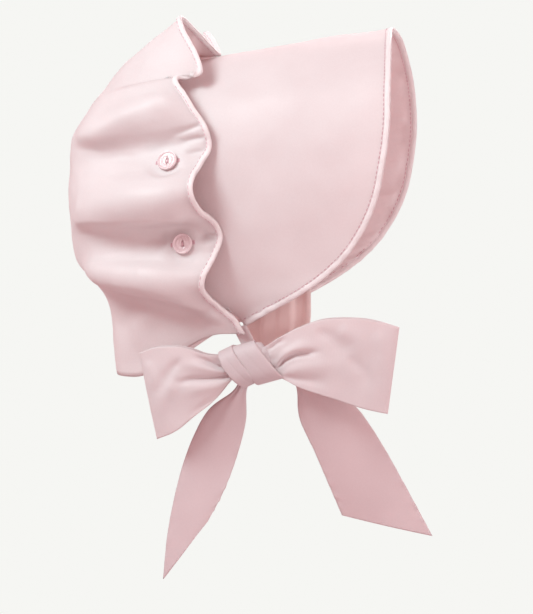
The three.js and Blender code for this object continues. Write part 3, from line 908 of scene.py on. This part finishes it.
def pearl(name):
    """Pale button resin with a faint mother-of-pearl cloudiness."""
    material, nodes, links, shader, output = new_material(name)
    place = add_node(nodes, "ShaderNodeTexCoord")
    cloudy = add_node(nodes, "ShaderNodeTexNoise", Scale=260.0, Detail=3.0, Distortion=1.6)
    links.new(place.outputs["Object"], cloudy.inputs["Vector"])
    ramp = add_node(nodes, "ShaderNodeValToRGB")
    ramp.color_ramp.elements[0].position, ramp.color_ramp.elements[1].position = 0.3, 0.7
    ramp.color_ramp.elements[0].color = (0.68, 0.50, 0.52, 1)
    ramp.color_ramp.elements[1].color = (0.78, 0.63, 0.64, 1)
    links.new(cloudy.outputs["Fac"], ramp.inputs["Fac"])
    links.new(ramp.outputs["Color"], shader.inputs["Base Color"])
    bumper = add_node(nodes, "ShaderNodeBump", Strength=0.15, Distance=0.00005)
    links.new(cloudy.outputs["Fac"], bumper.inputs["Height"])
    links.new(bumper.outputs["Normal"], shader.inputs["Normal"])
    shader.inputs["Roughness"].default_value = 0.26
    shader.inputs["Coat Weight"].default_value = 0.4
    shader.inputs["Coat Roughness"].default_value = 0.12
    return material


CLOTH = cotton("pink cotton", (0.785, 0.745, 0.75), (0.825, 0.795, 0.80), translucent=0.20,
               glow=(1, 0.40, 0.38))
RIBBON = cotton("pink ribbon cotton", (0.77, 0.715, 0.725), (0.81, 0.76, 0.77),
                translucent=0.24)
# A darker copy of the ribbon cloth, used on the tails, the knot core and its bands: painted shade.
SHADE_PAINTED_RIBBON = cotton("ribbon cotton darkened for painted shade", (0.68, 0.605, 0.62), (0.72, 0.65, 0.665),
                     translucent=0.24)
# A paler, more translucent copy of the cloth that lifts the left tie out of the shade under the
# brim: painted light.
LIGHT_PAINTED_TIE_CLOTH = cotton("tie cotton lightened for painted light", (0.88, 0.80, 0.79), (0.92, 0.85, 0.84), translucent=0.5,
                   glow=(0.98, 0.86, 0.83))
TAPE = cotton("pale binding tape", (0.88, 0.81, 0.81), (0.92, 0.86, 0.86), 0.8, 0.3, 0.12)
# Real stitches, but their dark colour stands in for the shade in the groove beside the brim's
# binding: painted shade.
SHADE_PAINTED_THREAD = cotton("pink thread darkened for painted shade", (0.60, 0.30, 0.36), (0.68, 0.38, 0.43), 2.0, 0.2, sheen=0.2)
PALE_THREAD = cotton("pink thread", (0.70, 0.42, 0.47), (0.77, 0.50, 0.55), 2.0, 0.2,
                     sheen=0.2)
PEARL = pearl("pearly pink button")

# ---------------------------------------------------------------- pieces

points, faces, uv, shape = crown_sheet()
crown = finish_piece(cloth_mesh("crown_ruffle", points, faces, CLOTH_WALL, uv), CLOTH,
                     "crown_cloth", "crown")
grid = points.reshape(*shape, 3)
edge, inside = resample([grid[:, 0], grid[:, 3]], EDGE_STEP)
tape, along, inward, normal = binding_mesh("crown_edge_binding", edge, inside, BINDING_WIDTH,
                                           BINDING_THICKNESS, 51)
finish_piece(tape, TAPE, "binding", "crown_binding")
starts, ends, ups = stitch_line(edge, inward, normal, along, BINDING_WIDTH - 0.55, 0.98)
crown_stitches = finish_piece(thread_mesh("crown_edge_stitches", starts, ends, ups, 0.2),
                              PALE_THREAD, "binding")
starts, ends, ups = buttonhole_stitches(SEATS.values())
holes = finish_piece(thread_mesh("buttonhole_stitches", starts, ends, ups, 0.17), PALE_THREAD,
                     "crown_cloth")

points, faces, uv, shape, wall = brim_sheet()
brim = finish_piece(cloth_mesh("brim_cloth", points, faces, wall, uv), CLOTH, "brim_cloth", "brim")
middle = points - 0.5 * BRIM_WALL * vertex_normals(points, faces)
grid = middle.reshape(*shape, 3)
edge, inside = resample([grid[:, 0], grid[:, 4]], EDGE_STEP)
brim_tape, along, inward, normal = binding_mesh("brim_edge_binding", edge, inside, BINDING_WIDTH,
                                                BINDING_THICKNESS, 61)
finish_piece(brim_tape, TAPE, "binding", "brim_binding")
starts, ends, ups = stitch_line(edge, inward, normal, along, BINDING_WIDTH + 0.35, 0.82)
# The brim's stitches are darkened to draw the shaded groove beside the binding: painted shade.
brim_stitches = finish_piece(thread_mesh("brim_edge_stitches", starts, ends, ups, 0.21), SHADE_PAINTED_THREAD,
                             "binding")

for name, (centre, normal, forward) in SEATS.items():
    finish_piece(button_mesh(name + "_pearl", centre, normal, forward), PEARL, "button", name)
starts, ends, ups = button_thread(SEATS.values())
finish_piece(thread_mesh("button_threads", starts, ends, ups, 0.2), PALE_THREAD, "button")

loops = {name: finish_piece(ribbon_mesh(name + "_ribbon", loop_sheet(name)), RIBBON, "bow_cloth",
                            name) for name in LOOPS}
# The tails, the knot core and the bands take the darker ribbon copy: painted shade.
tails = {name: finish_piece(ribbon_mesh(name + "_ribbon", tail_sheet(name)), SHADE_PAINTED_RIBBON,
                            "bow_cloth", name) for name in TAILS}
# The left tie takes the lightened cloth copy: painted light.
ties = {name: finish_piece(ribbon_mesh(name + "_ribbon", tie_sheet(name)),
                           LIGHT_PAINTED_TIE_CLOTH if name == "tie_left" else RIBBON, "tie_cloth", name)
        for name in TIES}
knot = finish_piece(knot_mesh("bow_knot_core"), SHADE_PAINTED_RIBBON, "bow_cloth", "bow_knot")
bands = {name: finish_piece(band_mesh(name, *values), SHADE_PAINTED_RIBBON, "bow_cloth")
         for name, values in KNOT_BANDS.items()}

# ---------------------------------------------------------------- studio


def studio():
    """A seamless pale bowl that only the camera sees, and that neither lights nor shades."""
    profile = [(0, -0.52), (9, -0.52), (13, 0.2), (15, 2.5), (16, 6), (15, 11), (9, 15), (0, 16)]
    fine = spline(profile, np.linspace(0, len(profile) - 1, 60))
    fine[0, 0] = fine[-1, 0] = 0.001
    turn = np.linspace(0, 2 * np.pi, 96, endpoint=False)
    rings = np.stack([fine[:, :1] * np.cos(turn), fine[:, :1] * np.sin(turn),
                      np.repeat(fine[:, 1:], 96, axis=1)], -1) / MM
    floor = sweep_mesh("studio_floor", rings)
    material, nodes, links, shader, output = new_material("studio paper")
    shader.inputs["Base Color"].default_value = (0, 0, 0, 1)
    shader.inputs["Specular IOR Level"].default_value = 0
    shader.inputs["Emission Color"].default_value = (0.921, 0.921, 0.896, 1)
    shader.inputs["Emission Strength"].default_value = 1
    floor.data.materials.append(material)
    floor.visible_diffuse = floor.visible_glossy = floor.visible_shadow = False
    floor.visible_transmission = False


def area_light(name, position, target, size, power, colour):
    data = bpy.data.lights.new(name, "AREA")
    data.shape, data.size, data.energy, data.color = "DISK", size, power, colour
    light = bpy.data.objects.new(name, data)
    position, target = np.array(position, float), np.array(target, float)
    light.location = position
    away = unit(position - target)
    light.rotation_euler = (math.acos(away[2]), 0, math.atan2(away[0], -away[1]))
    light.visible_camera = False
    bpy.context.scene.collection.objects.link(light)


studio()
world = bpy.data.worlds.new("soft studio")
bpy.context.scene.world = world
world.use_nodes = True
world.node_tree.nodes["Background"].inputs["Color"].default_value = (1, 0.68, 0.69, 1)
world.node_tree.nodes["Background"].inputs["Strength"].default_value = 0.70
area_light("key", (-0.66, 0.68, 0.72), (0, 0, -0.08), 0.5, 13, (0.80, 1, 1))
area_light("front", (-0.5, -1.5, 0.15), (0, 0, -0.1), 0.8, 6, (0.92, 0.98, 0.98))
area_light("low", (-1.0, -1.2, -0.65), (0, -0.02, -0.15), 1.0, 5, (0.94, 0.98, 0.98))
area_light("far side", (0.9, -0.3, 0.6), (0, 0, -0.1), 0.6, 9, (1, 1, 1))
bpy.context.scene.view_settings.view_transform = "Standard"

bpy.context.view_layer.update()
